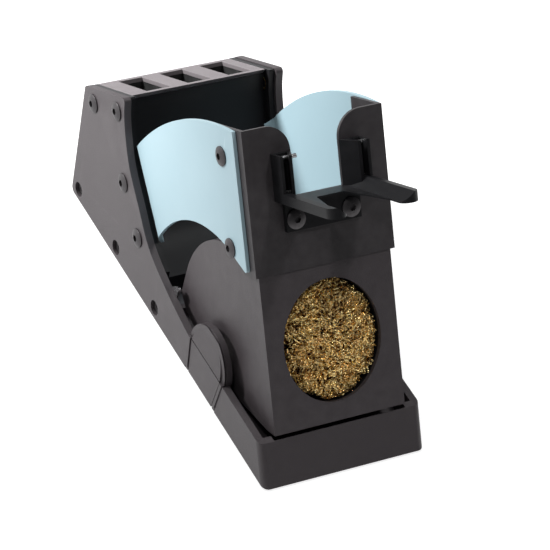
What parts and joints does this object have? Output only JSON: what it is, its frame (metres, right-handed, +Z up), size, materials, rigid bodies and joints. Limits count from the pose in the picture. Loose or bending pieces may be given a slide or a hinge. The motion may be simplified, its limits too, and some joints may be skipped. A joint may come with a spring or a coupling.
{
  "type": "soldering tool stand",
  "caption": "Bench stand for a small soldering tool: fork and notch to lay it in, heat guards, tilting brass-wool cleaner, sloping magazine for spare tips.",
  "frame": {"origin": "middle of the footprint, on the plane that the rubber feet stand on", "axes": "+Y from the front wall to the magazine at the back, +Z up, +X to the right seen from the front"},
  "size_m": [0.0726, 0.1784, 0.12],
  "materials": {
    "charcoal_plastic": "fine matte moulded texture",
    "black_plastic": "satin black",
    "soft_black": "matte black",
    "ballast_steel": "rough blackened block",
    "screw_steel": "grey passivated",
    "bright_steel": "bright turned",
    "insert_brass": "knurled",
    "foot_rubber": "soft matte",
    "plate_grey": "fine grey powder coat",
    "front_black": "fine black powder coat",
    "guard_blue": "light blue satin enamel",
    "bush_plastic": "natural",
    "brass_curl": "loose bright curls"
  },
  "bodies": {
    "base": {"base_shell": "charcoal_plastic", "ballast_block": "ballast_steel", "side_screws_left": "screw_steel", "side_screws_right": "screw_steel", "rubber_feet": "foot_rubber", "tower_body": "black_plastic", "slot_plate": "plate_grey", "tip_tube_left": "soft_black", "tip_tube_middle": "soft_black", "tip_tube_right": "soft_black", "cheek_screws_left": "screw_steel", "cheek_screws_right": "screw_steel", "cheek_inserts_left": "insert_brass", "cheek_inserts_right": "insert_brass", "pivot_cover_left": "charcoal_plastic", "pivot_cover_right": "charcoal_plastic", "pivot_pin_left": "bright_steel", "pivot_pin_right": "bright_steel", "index_spring_left": "bright_steel", "index_spring_right": "bright_steel", "spring_screw_left": "bright_steel", "spring_screw_right": "bright_steel"},
    "head": {"wool_box": "charcoal_plastic", "wool_well": "black_plastic", "pivot_bush_left": "bush_plastic", "pivot_bush_right": "bush_plastic", "front_plate": "front_black", "guard_left": "guard_blue", "guard_right": "guard_blue", "guard_screws_left": "screw_steel", "guard_screws_right": "screw_steel", "guard_nuts_left": "screw_steel", "guard_nuts_right": "screw_steel", "tool_fork": "black_plastic", "fork_screws": "screw_steel", "fork_nuts": "screw_steel", "fork_pins_left": "bright_steel", "fork_pins_right": "bright_steel"},
    "wool": {"brass_wool": "brass_curl"}
  },
  "joints": [
    {"name": "head_tilt", "type": "hinge", "parent": "base", "child": "head", "pos_m": [0, -0.03325, 0.0158], "axis": [1, 0, 0], "range_deg": [0, 15]},
    {"name": "wool_slide", "type": "slide", "parent": "head", "child": "wool", "axis": [0, -0.848, 0.5299], "range_m": [0, 0.045]}
  ]
}
